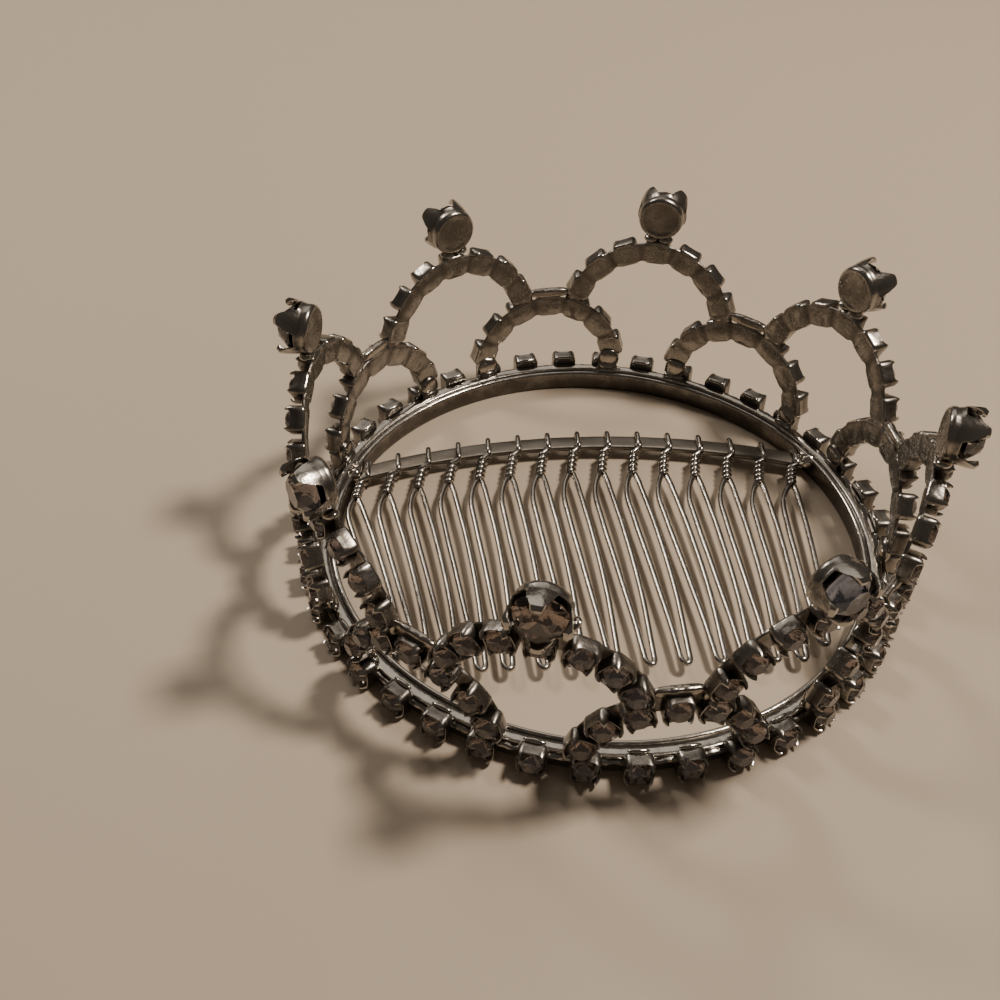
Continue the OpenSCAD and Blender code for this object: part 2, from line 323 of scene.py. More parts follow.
def sweep(path, radius, sides, bumps=0.0, seed=0):
    """A round wire along a path: at each point a circle of the radius, square to the path, whose
    start is carried along without spinning. Both ends close on a pole."""
    way = np.gradient(path, axis=0)
    way /= np.linalg.norm(way, axis=1)[:, None]
    across = np.empty_like(path)
    side = np.cross(way[0], [0.9, 0.1, 0.2])
    for i, w in enumerate(way):
        side = side - (side @ w) * w
        side = side / np.linalg.norm(side)
        across[i] = side
    third = np.cross(way, across)
    a = np.arange(sides) / sides * TAU
    ring = (
        path[:, None]
        + radius * np.cos(a)[None, :, None] * across[:, None]
        + radius * np.sin(a)[None, :, None] * third[:, None]
    )
    if bumps:
        ring = path[:, None] + (ring - path[:, None]) * (
            1 + lumps(ring, 3 * radius, bumps, seed)[..., None]
        )
    return shell(ring, path[0], path[-1])


def blob(centre, size, seed, bumps=0.1, rows=9, columns=16, power=1.0):
    """A drop of solder: an egg of the given half sizes whose skin moves in and out with the
    uneven field. A power below one makes it boxy."""
    v = (np.arange(rows) + 1) / (rows + 1) * math.pi - math.pi / 2
    a = np.arange(columns) / columns * TAU
    unit = np.stack(
        [
            np.cos(v)[:, None] * np.cos(a),
            np.cos(v)[:, None] * np.sin(a),
            np.sin(v)[:, None] * np.ones(columns),
        ],
        -1,
    )
    unit = np.sign(unit) * np.abs(unit) ** power
    poles = np.array([[0, 0, -1.0], [0, 0, 1.0]])
    swell = 1 + lumps(unit, 2.2, bumps, seed)[..., None]
    tips = poles * (1 + lumps(poles, 2.2, bumps, seed)[:, None])
    size = np.array(size)
    centre = np.array(centre)
    return shell(centre + unit * swell * size, centre + tips[0] * size, centre + tips[1] * size)


# ---- materials ----


class Value:
    """A socket that takes part in Python sums. Each operator adds one Math node."""

    def __init__(self, finish, socket):
        self.finish, self.socket = finish, socket

    def math(self, operation, a, b, clamp=False):
        """One Math node on two values or numbers."""
        return self.finish.node(
            "ShaderNodeMath", {"operation": operation, "use_clamp": clamp}, {0: a, 1: b}
        )

    def __add__(self, other):
        return self.math("ADD", self, other)

    def __sub__(self, other):
        return self.math("SUBTRACT", self, other)

    def __rsub__(self, other):
        return self.math("SUBTRACT", other, self)

    def __mul__(self, other):
        return self.math("MULTIPLY", self, other)

    __radd__ = __add__
    __rmul__ = __mul__

    def clamp(self):
        """The value kept between 0 and 1."""
        return self.math("ADD", self, 0.0, clamp=True)


class Finish:
    """One material under construction."""

    def __init__(self, name):
        self.material = bpy.data.materials.new(name)
        self.material.use_nodes = True
        self.tree = self.material.node_tree
        self.shader = self.tree.nodes["Principled BSDF"]

    def node(self, kind, settings=None, values=None, out=0):
        """Adds a node, sets its settings first, then the values or links of its sockets. Returns
        one output."""
        made = self.tree.nodes.new(kind)
        for key, setting in (settings or {}).items():
            setattr(made, key, setting)
        for key, value in (values or {}).items():
            self.feed(made.inputs[key], value)
        return Value(self, made.outputs[out])

    def feed(self, socket, value):
        """Links a value to a socket, or sets the socket."""
        if isinstance(value, Value):
            self.tree.links.new(value.socket, socket)
        elif socket.type == "RGBA":
            socket.default_value = (*value, 1)
        else:
            socket.default_value = value

    def surface(self, **values):
        """Sets or links the shader's own sockets. An underscore stands for a space."""
        for key, value in values.items():
            self.feed(self.shader.inputs[key.replace("_", " ")], value)
        return self.material

    def here(self):
        """Object coordinates in millimetres."""
        metres = self.node("ShaderNodeTexCoord", out="Object")
        return self.node("ShaderNodeMapping", {}, {"Vector": metres, "Scale": [1 / MM] * 3})

    def noise(self, where, scale, detail, rough=0.5):
        """Soft noise around 0.5, with scale waves to a millimetre."""
        return self.node(
            "ShaderNodeTexNoise", {"noise_dimensions": "3D"},
            {"Vector": where, "Scale": scale, "Detail": detail, "Roughness": rough},
        )

    def attribute(self, name):
        """A value that the mesh carries at each point."""
        return self.node(
            "ShaderNodeAttribute", {"attribute_name": name, "attribute_type": "GEOMETRY"}, out="Fac"
        )

    def mix(self, factor, a, b):
        """A colour between a and b."""
        return self.node(
            "ShaderNodeMix", {"data_type": "RGBA", "blend_type": "MIX"},
            {"Factor": factor, 6: a, 7: b}, out=2,
        )

    def bump(self, height, strength, distance):
        """A bumped normal."""
        return self.node(
            "ShaderNodeBump", {}, {"Height": height, "Strength": strength, "Distance": distance}
        )


def plating(name, bright, dark, rough, stain_by, dents):
    """Worn plated metal: bright and darkened metal mixed by the mesh's mask of tarnish with painted
    light and shade and by soft clouds, rougher where dark, with shallow dents. The mask's share and
    dents say how much of each it shows."""
    f = Finish(name)
    where = f.here()
    clouds = f.noise(where, 0.45, 3.0, 0.55)
    specks = f.noise(where, 3.5, 2.0, 0.55)
    # The mask that each mesh carries mixes tarnish with painted light and shade.
    stain = f.attribute("stain") * stain_by
    dark_here = (stain + (clouds - 0.5) * 0.7 + (specks - 0.5) * 0.3).clamp()
    waves = f.noise(where, 0.9, 2.0)
    return f.surface(
        Base_Color=f.mix(dark_here, bright, dark),
        Metallic=1.0,
        Roughness=(dark_here * 0.22 + specks * 0.08 + rough - 0.04).clamp(),
        Normal=f.bump(waves * dents, 0.35, 0.00022),
    )


def halfway(a, b):
    """The colour half way between two."""
    return tuple((x + y) / 2 for x, y in zip(a, b))


def glassy(name, glass, ice, blush):
    """Clear cut glass with a thin coat that leans to blue or pink."""
    f = Finish(name)
    drift = f.noise(f.here(), 0.35, 1.0)
    lean = (f.attribute("tint") + (drift - 0.5) * 0.8).clamp()
    return f.surface(
        Base_Color=f.mix(lean, halfway(ice, glass), halfway(blush, glass)),
        Roughness=0.015,
        IOR=1.54,
        Transmission_Weight=1.0,
        Coat_Weight=0.3,
        Coat_Roughness=0.02,
    )


def foiled(name, foil, aged, ice, blush):
    """Mirror foil on the back of a stone, tinted by the coat and brown where it has aged."""
    f = Finish(name)
    where = f.here()
    hue = f.attribute("tint")
    clouds = f.noise(where, 0.5, 3.0, 0.55)
    coat = f.mix(hue, ice, blush)
    coated = f.mix((clouds * 0.5 + (0.4 - hue)).clamp(), foil, coat)
    age = ((f.noise(where, 0.9, 2.0) - 0.45) * 3).clamp()
    return f.surface(
        Base_Color=f.mix(age * 0.55, coated, aged),
        Metallic=1.0,
        Roughness=clouds * 0.12 + 0.05,
    )


stock = {}


def finishes():
    """Every material, made once from the scene's colours."""
    if not stock:
        c = bpy.context.scene.tiara_finishes
        rough = c.roughness
        stock.update(
            setting=plating("aged_plating", c.silver, c.tarnish_and_shade, rough, 1.0, 1.0),
            ring=plating("ring_plating", c.polish, c.tarnish_and_shade, rough * 0.8, 0.8, 0.5),
            wire=plating("comb_wire", c.polish, c.tarnish_and_shade, rough * 0.8, 0.9, 0.25),
            solder=plating("bright_solder", c.solder, c.tarnish_and_shade, rough * 0.6, 0.8, 0.8),
            strip=plating("satin_strip", c.satin, c.tarnish_and_shade, rough + 0.14, 0.7, 0.4),
            glass=glassy("clear_crystal", c.glass, c.ice, c.blush),
            foil=foiled("stone_foil", c.foil, c.aged, c.ice, c.blush),
        )
    return stock


# ---- shapes of the pieces ----


def square_outline(half, corner):
    """Thirty-two points round a square with rounded corners, and at each how far the wall has
    risen towards the corner and how much of the claw stands there. A quarter holds the middle
    of a side, two points towards the bend, three round it and two towards the next side."""
    flat = half - corner
    bend = corner * np.sin(np.radians([22.5, 45, 67.5]))
    quarter = np.array(
        [
            [half, 0],
            [half, flat * 0.6],
            [half, flat],
            [flat + bend[2], flat + bend[0]],
            [flat + bend[1], flat + bend[1]],
            [flat + bend[0], flat + bend[2]],
            [flat, half],
            [flat * 0.6, half],
        ]
    )
    rise = np.tile([0, 0.12, 0.45, 0.9, 1, 0.9, 0.45, 0.12], 4)
    claw = np.tile([0, 0, 0, 0.5, 1, 0.5, 0, 0], 4)
    turns = []
    for k in range(4):
        c, s = round(math.cos(k * math.pi / 2)), round(math.sin(k * math.pi / 2))
        turns.append(quarter @ np.array([[c, s], [-s, c]]))
    return np.vstack(turns), rise, claw


def small_cup(s):
    """A stamped square setting: its outline carried through rows that go from the flat back up
    the wall, over the rim and down to the round seat. The rim sags along each side and rises to
    a claw at each corner, whose tip leans in over the stone. Returns points, faces and the mask of
    tarnish with painted light and shade."""
    outline, rise, claw = square_outline(s.width / 2, s.corner)
    way = outline / np.linalg.norm(outline, axis=1)[:, None]
    lean = claw[:, None]
    seat = s.stone / 2 + 0.02 * MM
    rim = s.side + (s.depth - s.side) * rise
    tip = rim + s.claw * claw
    rows = [
        (outline * 0.72, 0.02 * MM),
        (outline * 0.88, 0.02 * MM),
        (outline * 0.95, 0.12 * MM),
        (outline * 0.99, 0.36 * MM),
        (outline * 0.985, rim * 0.55),
        (outline * 0.995, rim - 0.05 * MM),
        (outline * (0.97 - 0.08 * lean), rim + (tip - rim) * 0.75),
        (outline * (0.95 - 0.19 * lean), tip),
        (outline * (0.92 - 0.20 * lean), tip - 0.05 * MM - 0.12 * MM * claw),
        (way * seat, rim - 0.12 * MM),
        (way * seat * 0.98, 0.95 * MM),
    ]
    grid = np.stack([np.column_stack([xy, z + 0 * claw]) for xy, z in rows])
    # Painted light and shade in the mask, row by row: the back's rounded edge and the claw tips
    # light as painted highlights, and the back's middle, the walls and the seat inside dark as
    # painted shade.
    shades = [0.75, 0.40, 0.05, 0.45, 0.80, 0.50, 0.12, 0.0, 0.4, 0.9, 1.0]
    stain = np.repeat(shades, len(outline))
    points, faces = shell(grid, [0, 0, 0.04 * MM], [0, 0, 0.6 * MM])
    return points, faces, np.append(stain, [0.75, 1.0])


def cut_stone(diameter, culet, girdle, table, spread, seed):
    """A cut stone with a flat table, eight star facets, eight kites and sixteen girdle facets
    above, and sixteen foiled facets below that meet in a point. Corners lie on circles at angles
    that step by an eighth or a sixteenth of a turn. Returns points and the glass and foil
    faces."""
    turn = np.random.default_rng(seed).uniform(0, TAU)
    r = diameter / 2
    e = np.arange(8) * TAU / 8 + turn
    g = np.arange(16) * TAU / 16 + turn
    rise = table - girdle

    def circle(angles, radius, z):
        """Points at these angles on a level circle."""
        return np.column_stack([radius * np.cos(angles), radius * np.sin(angles), angles * 0 + z])

    points = np.vstack(
        [
            circle(e, r * spread, table),
            circle(e + TAU / 16, r * (0.52 + 0.48 * spread), girdle + rise * 0.58),
            circle(g, r, girdle + 0.04 * rise),
            circle(g, r, girdle - 0.10 * rise),
            [[0, 0, culet]],
        ]
    )
    i = np.arange(8)
    j = np.arange(16)
    after8, after16 = (i + 1) % 8, (j + 1) % 16
    crown = [
        np.array([i]),
        np.column_stack([i, 8 + i, after8]),
        np.column_stack([i, 8 + (i - 1) % 8, 16 + 2 * i, 8 + i]),
        np.column_stack([8 + i, 16 + 2 * i, 17 + 2 * i]),
        np.column_stack([8 + i, 17 + 2 * i, 16 + (2 * i + 2) % 16]),
        np.column_stack([16 + j, 32 + j, 32 + after16, 16 + after16]),
    ]
    foil = np.column_stack([32 + j, np.full(16, 48), 32 + after16])
    return points, [*crown, foil], [0] * len(crown) + [1]


def wall_at(height, lean):
    """Radius of the crown's wall at a height."""
    return RING_OUTER + math.tan(lean) * (height - LEAN_FROM)


def arch_places(azimuth, radius, height, step, lean, count):
    """Where an arch's settings stand: azimuth, radius, height, lean and turn of each. The arch is
    a circle drawn on the crown's wall, with a setting at each step of its angle."""
    turns = (np.arange(count) - (count - 1) / 2) * step
    heights = height + radius * np.cos(turns)
    walls = wall_at(heights, lean)
    spots = azimuth + radius * np.sin(turns) / ARC_RADIUS
    return [(spots[i], walls[i], heights[i], lean, turns[i]) for i in range(count)]


def ring_places(count, height):
    """Where the ring's settings stand."""
    return [((i + 0.5) * TAU / count, RING_OUTER, height, 0.0, 0.0) for i in range(count)]


def uneven(places, amount, seed):
    """The same places, each turned and moved a little, as by hand."""
    spread = np.random.default_rng(seed)
    out = []
    for azimuth, radius, height, lean, turn in places:
        a, b, c, d = spread.normal(0, 1, 4).clip(-1.6, 1.6) * amount
        moved = (azimuth + a * 0.001, radius + abs(b) * 0.03 * MM, height)
        out.append((*moved, lean + c * 0.02, turn + d * 0.022))
    return out


def stone_finishes():
    """The two materials of a cut stone."""
    return [finishes()["glass"], finishes()["foil"]]


def set_cups(patch, places, seed):
    """Adds a small setting at each place."""
    spread = np.random.default_rng(seed)
    points, faces, stain = small_cup(bpy.context.scene.tiara_settings)
    for spot in places:
        patch.add(place(points, *spot), faces, (stain + spread.normal(0, 0.12)).clip(0, 1))


def set_stones(patch, places, seed):
    """Adds a small stone at each place, tipped a little in its seat."""
    s = bpy.context.scene.tiara_settings
    spread = np.random.default_rng(seed)
    for n, spot in enumerate(places):
        points, faces, finish = cut_stone(
            s.stone, 0.66 * MM, s.depth - 0.18 * MM, s.table, 0.56, seed * 100 + n
        )
        tip = spread.normal(0, 0.02, 2)
        points[:, 2] += points[:, :2] @ tip
        patch.add(place(points, *spot), faces, 0, spread.uniform(0.35, 1.0), finish)


def arch_ribbon(azimuth, radius, height, step, lean, count, seed):
    """The soldered back of an arch: a ribbon nearly as wide as the settings, which narrows a
    little and darkens at each joint between them. It runs straight behind each setting and bends
    at the joints. Rows run along the arch, and columns go round the rounded section."""
    rows, columns = 85, 12
    reach = (count - 1) / 2 * step + math.radians(5)
    t = np.linspace(-reach, reach, rows)
    part = np.abs((t / step + (count - 1) / 2) % 1 - 0.5) * 2
    joint = (1 - part) ** 2
    chord = np.cos(np.round(t / step) * step - t)
    a = np.arange(columns) / columns * TAU
    wide = (1.38 - 0.16 * joint**2)[:, None] * MM
    thick = (0.30 - 0.10 * joint**3)[:, None] * MM
    across = np.sign(np.cos(a)) * np.abs(np.cos(a)) ** 0.35 * wide
    out = np.sign(np.sin(a)) * np.abs(np.sin(a)) ** 0.6 * thick + 0.30 * MM
    line = radius / chord * np.cos(step / 2) ** 0.5
    r = line[:, None] - across
    up = height + r * np.cos(t)[:, None]
    along = r * np.sin(t)[:, None]
    points = np.stack([along, up, out], -1)
    points[..., 2] += lumps(points, 2.4 * MM, 0.07 * MM, seed)
    points[..., 1] += lumps(points, 2.4 * MM, 0.06 * MM, seed + 1)
    spot = azimuth + points[..., 0] / ARC_RADIUS
    far = wall_at(points[..., 1], lean) + points[..., 2]
    grid = np.stack([far * np.sin(spot), far * np.cos(spot), points[..., 1]], -1)[:, ::-1]
    stain = np.repeat(0.50 + 0.50 * joint**4, columns)
    return *shell(grid, grid[0].mean(0), grid[-1].mean(0)), np.append(stain, [0.3, 0.3])


def arch(name, azimuth, radius, height, step, node, seed):
    """One arch: its settings and their soldered back."""
    a = bpy.context.scene.tiara_arches
    patch = Patchwork()
    places = uneven(arch_places(azimuth, radius, height, step, a.lean, a.cups), 1.0, seed)
    set_cups(patch, places, seed)
    patch.add(*arch_ribbon(azimuth, radius, height, step, a.lean, a.cups, seed))
    patch.piece(name, [finishes()["setting"]], [node], PLATING_CREASE)


def top_cup(t):
    """A stamped round setting. Rows go from the dished back disc round its rolled edge, up the
    flaring wall, over the rim and down inside. Between the four claws the rim sinks to a deep
    round window, and each claw narrows to a hooked tip. Returns points, faces and the mask of
    tarnish with painted light and shade."""
    n = 96
    a = np.arange(n) / n * TAU
    off = np.abs((a / (TAU / 4)) % 1 - 0.5) * (TAU / 4)
    arm = np.clip(1 - (off / 0.47) ** 2.6, 0, 1) ** 0.6
    claw = np.clip(1.5 - (off / 0.27) ** 3, 0, 1)
    rim = t.window + (t.depth - t.window) * arm
    tip = rim + t.claw * claw
    r, d = t.diameter / 2, t.disc / 2
    rows = [
        (d * 0.35, 0.26 * MM),
        (d * 0.68, 0.20 * MM),
        (d * 0.86, 0.10 * MM),
        (d * 0.95, 0),
        (d + 0.06 * MM, 0.05 * MM),
        (d + 0.28 * MM, 0.30 * MM),
        (d + 0.36 * MM, 0.70 * MM),
        (d + 0.28 * MM, 1.10 * MM),
        (d + 0.34 * MM, 1.25 * MM),
        (r * (0.93 + 0.03 * arm), t.window + (rim - t.window) * 0.5 - 0.06 * MM),
        (r * (0.95 + 0.04 * arm), rim - 0.05 * MM),
        (r * (0.94 + 0.06 * arm), rim + (tip - rim) * 0.55),
        (r * (0.92 + 0.05 * arm - 0.07 * claw), tip),
        (r * (0.90 + 0.02 * arm - 0.16 * claw), tip - 0.04 * MM - 0.06 * MM * claw),
        (r * (0.89 + 0.02 * arm - 0.12 * claw), tip - 0.12 * MM - 0.40 * MM * claw),
        (r * (0.88 + 0.02 * arm), rim - 0.10 * MM),
        (r * 0.80, 1.22 * MM),
    ]
    grid = np.stack([np.column_stack([q * np.cos(a), q * np.sin(a), z + 0 * a]) for q, z in rows])
    # Painted light and shade in the mask: the disc's rolled edge, the rim and the claw tips light
    # as painted highlights, and the crease above the rolled edge and the inside dark as painted
    # shade.
    back = [0.55, 0.55, 0.6, 0.35, 0.3, 0.4, 0.35, 0.7, 0.6]
    wall = [0.35, 0.2, 0.1, 0.0, 0.1, 0.4, 0.8, 1.0]
    stain = np.repeat(back + wall, n)
    points, faces = shell(grid, [0, 0, 0.28 * MM], [0, 0, 1.05 * MM])
    return points, faces, np.append(stain, [0.55, 1.0])


def comb_point(points):
    """Moves points from the comb's own plane into the crown: turned clockwise and raised."""
    c = bpy.context.scene.tiara_comb
    x, y = points[..., 0], points[..., 1]
    return np.stack(
        [
            x * math.cos(c.turn) + y * math.sin(c.turn),
            y * math.cos(c.turn) - x * math.sin(c.turn),
            points[..., 2] + c.plane,
        ],
        -1,
    )


def spine_at(x):
    """Where the bowed spine's middle lies at x: on a circle through the spine's distance."""
    c = bpy.context.scene.tiara_comb
    r = c.spine_radius
    return c.spine_y - (r - np.sqrt(r * r - x * x))


# A tooth in millimetres, by the distance below the spine: how far its middle line drifts
# sideways, and half the distance between its two legs.
DRIFT = [(-40, -0.4), (-30, -0.6), (-22, -1.0), (-15, -1.5), (-9, -1.85), (-6.2, -1.6),
         (-1.8, -0.75), (1.5, 0), (3, 0)]
SPREAD = [(-40, 0.52), (-38.4, 0.52), (-34, 0.66), (-28, 0.93), (-22, 1.08), (-14, 1.15),
          (-9.6, 1.02), (-7.6, 0.72), (-6.2, 0.33)]
TWIST_TOP, TWIST_LENGTH = -2.05, 4.15
LEGS_TOP = -6.2
TIP_LENGTH = 1.3
TOOTH_SEED = 40


def tooth(number):
    """The wire of one tooth. It wraps the spine as a rounded rectangle, comes down as one strand
    of a twist, which is a helix round a drifting line, runs down one leg, round the tip in a
    half circle, up the other leg and up the other strand of the twist."""
    c = bpy.context.scene.tiara_comb
    spread = np.random.default_rng(TOOTH_SEED + number)
    x0 = (number - (c.teeth - 1) / 2) * c.pitch
    y0 = spine_at(x0)
    side = abs(x0) / MM
    tip_x = math.copysign(side - 0.25 * max(0, side - 12), x0) * MM
    tip_y = -c.tip_y + 0.55 * max(0, side - 24) * MM
    full = (c.spine_y + c.tip_y) / MM
    stretch = (y0 - tip_y) / MM / full
    lean = (tip_x - x0) / MM
    r = c.wire / MM / 2
    wide = c.spine_width / MM / 2 + r + 0.02
    high = c.spine_thickness / MM / 2 + r + 0.02

    def boxed(wave):
        """A sine or cosine flattened towards -1 and 1, which squares the circle that it draws."""
        return np.sign(wave) * np.abs(wave) ** 0.55

    a = np.radians(np.linspace(-135, 150, 34))
    wrap = np.column_stack([0.04 * np.cos(a), boxed(np.cos(a)) * wide, boxed(np.sin(a)) * high])

    part = np.linspace(0, 1, 40)
    v = TWIST_TOP - TWIST_LENGTH * part
    turned = np.radians(90) + TAU * c.turns * part
    off, rise = (r + 0.01) * np.cos(turned), (r + 0.01) * np.sin(turned)
    down = np.column_stack([through(v, DRIFT) + off, v * stretch, rise])
    up = np.column_stack([through(v, DRIFT) - off, v * stretch, -rise])[::-1]

    v = np.linspace(-6.55, -full + TIP_LENGTH, 54)
    far = (v - LEGS_TOP) / (-LEGS_TOP - full)
    bow = spread.normal(0, 0.10) * np.sin(math.pi * far)
    gap = through(v, SPREAD)
    middle = through(v, DRIFT) + lean * far + bow
    left = np.column_stack([middle - gap, v * stretch, 0 * v])
    right = np.column_stack([middle + gap, v * stretch, 0 * v])[::-1]

    a = np.radians(np.linspace(180, 360, 15))[1:-1]
    end = left[-1] + [gap[-1], 0, 0]
    deep = end[1] - (r - full * stretch)
    tip = np.column_stack([end[0] + gap[-1] * np.cos(a), end[1] + deep * np.sin(a), 0 * a])
    close = np.array([[0, -1.0, -high], [0, -0.3, -high]])
    path = np.vstack([wrap, down, left, tip, right, up, close])
    path[:, 0] += x0 / MM
    path[:, 1] += y0 / MM
    return path * MM


# ---- operators ----


class TIARA_OT_ring(bpy.types.Operator):
    """Builds the flat ring: a section with ledge, groove and lip, turned about the axis"""

    bl_idname = "tiara.ring"
    bl_label = "Ring"

    def execute(self, context):
        s = context.scene.tiara_ring
        w, h, g, lip = s.width, s.height, s.groove, s.lip
        c = 0.1 * MM  # the unit of the rounded corners
        profile = np.array(
            [
                [2.5 * c, 0], [w - 2 * c, 0], [w - 0.5 * c, 0.6 * c], [w, 2.5 * c],
                [w, h - 1.5 * c], [w - 0.5 * c, h - 0.3 * c], [w - 1.5 * c, h],
                [lip + 4 * c, h - 0.2 * c], [lip + 3.2 * c, h - c], [lip + 2.6 * c, h - 0.85 * g],
                [lip + 1.4 * c, h - g], [lip + 0.5 * c, h - 0.7 * g], [lip, h - 0.6 * c],
                [lip - c, h], [0.5 * lip, h + 0.1 * c], [1.2 * c, h - 0.4 * c],
                [0.3 * c, h - 1.6 * c], [0, h - 4 * c], [0.3 * c, 0.5 * h], [0, 3.5 * c],
                [0.4 * c, 1.2 * c], [1.4 * c, 0.2 * c],
            ]
        )
        # Painted light and shade in the ring's mask: the ledge's top and the lip are kept light as
        # lit, and the groove, the inner face and the bottom edges are painted dark as shade.
        stain = np.array(
            [0.9, 0.7, 0.6, 0.6, 0.6, 0.3, 0.15, 0.2, 0.8, 1.2, 1.2, 1.0, 0.2, 0.0, 0.0, 0.1,
             0.6, 1.1, 1.25, 1.25, 1.2, 1.0]
        )
        n = 256
        a = np.arange(n) / n * TAU
        r = (s.outer - w + profile[:, 0])[:, None]
        grid = np.stack([r * np.sin(a), r * np.cos(a), profile[:, 1][:, None] + 0 * a], -1)
        grid[..., 2] += (lumps(grid, 9 * MM, 0.03 * MM, 3) * (grid[..., 2] > h * 0.5)).clip(-1, 0)
        cells = quads(len(profile) + 1, n, True) % (len(profile) * n)
        patch = Patchwork()
        patch.add(grid.reshape(-1, 3), [cells], np.repeat(stain, n))
        patch.piece("ring_strip", [finishes()["ring"]], ["base_band"], 50)
        return {"FINISHED"}


class TIARA_OT_ring_chain(bpy.types.Operator):
    """Builds the chain of square settings round the ring, with their link wires and solder"""

    bl_idname = "tiara.ring_chain"
    bl_label = "Ring settings"

    def execute(self, context):
        s = context.scene.tiara_ring
        patch = Patchwork()
        set_cups(patch, uneven(ring_places(s.count, s.cup_height), 1.0, 5), 5)
        step = TAU / s.count
        far = s.outer + 0.28 * MM
        t = np.linspace(-0.5, 0.5, 9)
        for i in range(s.count):
            spot = i * step + t * step * 0.46
            sag = s.cup_height + 0.05 * MM * np.cos(9 * t + i)
            path = np.column_stack([far * np.sin(spot), far * np.cos(spot), sag])
            patch.add(*sweep(path, 0.34 * MM, 8, 0.2, i), 0.25)
            points, faces = blob((0, -1.72 * MM, 0.1 * MM), (1.25 * MM, 0.28 * MM, 0.32 * MM), i)
            spot = ((i + 0.5) * step, s.outer, s.cup_height, 0, 0)
            patch.add(place(points, *spot), faces, 0.02)
        patch.piece("ring_settings", [finishes()["setting"]], ["base_cup_chain"],
                    PLATING_CREASE)
        return {"FINISHED"}


class TIARA_OT_ring_stones(bpy.types.Operator):
    """Sets a cut stone in each setting of the ring"""

    bl_idname = "tiara.ring_stones"
    bl_label = "Ring stones"

    def execute(self, context):
        s = context.scene.tiara_ring
        patch = Patchwork()
        set_stones(patch, ring_places(s.count, s.cup_height), 7)
        patch.piece("ring_stones", stone_finishes(), ["base_stones"])
        return {"FINISHED"}


class TIARA_OT_arches(bpy.types.Operator):
    """Builds the eight small and the eight large arches"""

    bl_idname = "tiara.arches"
    bl_label = "Arches"

    def execute(self, context):
        a = context.scene.tiara_arches
        for k in range(SECTORS):
            arch(f"small_arch_settings_{k + 1}", math.radians(k * SECTOR), a.small_radius,
                 a.small_height, a.small_step, f"small_arch_{k + 1}", 20 + k)
            arch(f"large_arch_settings_{k + 1}", math.radians((k + 0.5) * SECTOR), a.large_radius,
                 a.large_height, a.large_step, f"large_arch_{k + 1}", 40 + k)
        return {"FINISHED"}


class TIARA_OT_arch_stones(bpy.types.Operator):
    """Sets a cut stone in each setting of the arches"""

    bl_idname = "tiara.arch_stones"
    bl_label = "Arch stones"

    def execute(self, context):
        a = context.scene.tiara_arches
        kinds = (
            ("small", 0, a.small_radius, a.small_height, a.small_step, 80),
            ("large", 0.5, a.large_radius, a.large_height, a.large_step, 60),
        )
        for kind, shift, radius, height, step, seed in kinds:
            for k in range(SECTORS):
                azimuth = math.radians((k + shift) * SECTOR)
                patch = Patchwork()
                places = arch_places(azimuth, radius, height, step, a.lean, a.cups)
                set_stones(patch, places, seed + k)
                patch.piece(f"{kind}_arch_cut_stones_{k + 1}", stone_finishes(),
                            [f"{kind}_arch_stones_{k + 1}"])
        return {"FINISHED"}


TOP_TURNS = (0, 4, -6, 40, 45, 20, 0, -3)  # degrees about each top setting's own axis
TOP_TINTS_AND_FLASH = (0.7, 0.5, 0.6, 0.0, 1.0, 0.5, 0.6, 0.4)  # from the blue side to the pink side; the fourth is turned fully blue as a painted blue reflection


class TIARA_OT_top_settings(bpy.types.Operator):
    """Builds the eight round settings on top of the large arches and their stones"""

    bl_idname = "tiara.top_settings"
    bl_label = "Top settings and stones"

    def execute(self, context):
        t = context.scene.tiara_top
        lean = context.scene.tiara_arches.lean
        spread = np.random.default_rng(11)
        points, faces, stain = top_cup(t)
        for k in range(SECTORS):
            azimuth = math.radians((k + 0.5) * SECTOR)
            turn = math.radians(TOP_TURNS[k]) + spread.normal(0, 0.05)
            spot = (azimuth, wall_at(t.height, lean), t.height, lean, turn)
            patch = Patchwork()
            patch.add(place(points, *spot), faces, (stain + spread.normal(0, 0.08)).clip(0, 1))
            for side in (-1, 1):
                bead, cells = blob((side * 0.9 * MM, t.diameter / 2 - 0.15 * MM, 1.0 * MM),
                                   (1.0 * MM, 0.5 * MM, 0.9 * MM), 300 + 2 * k + side)
                patch.add(place(bead, *spot), cells, 0.05)
            patch.piece(f"top_round_setting_{k + 1}", [finishes()["setting"]],
                        [f"top_setting_{k + 1}"], 40)
            stone, cells, finish = cut_stone(
                t.stone, 1.2 * MM, 2.35 * MM, t.depth + t.claw - 0.06 * MM, 0.52, 500 + k
            )
            patch = Patchwork()
            patch.add(place(stone, *spot), cells, 0, TOP_TINTS_AND_FLASH[k], finish)
            patch.piece(f"top_cut_stone_{k + 1}", stone_finishes(),
                        [f"top_stone_{k + 1}"])
        return {"FINISHED"}


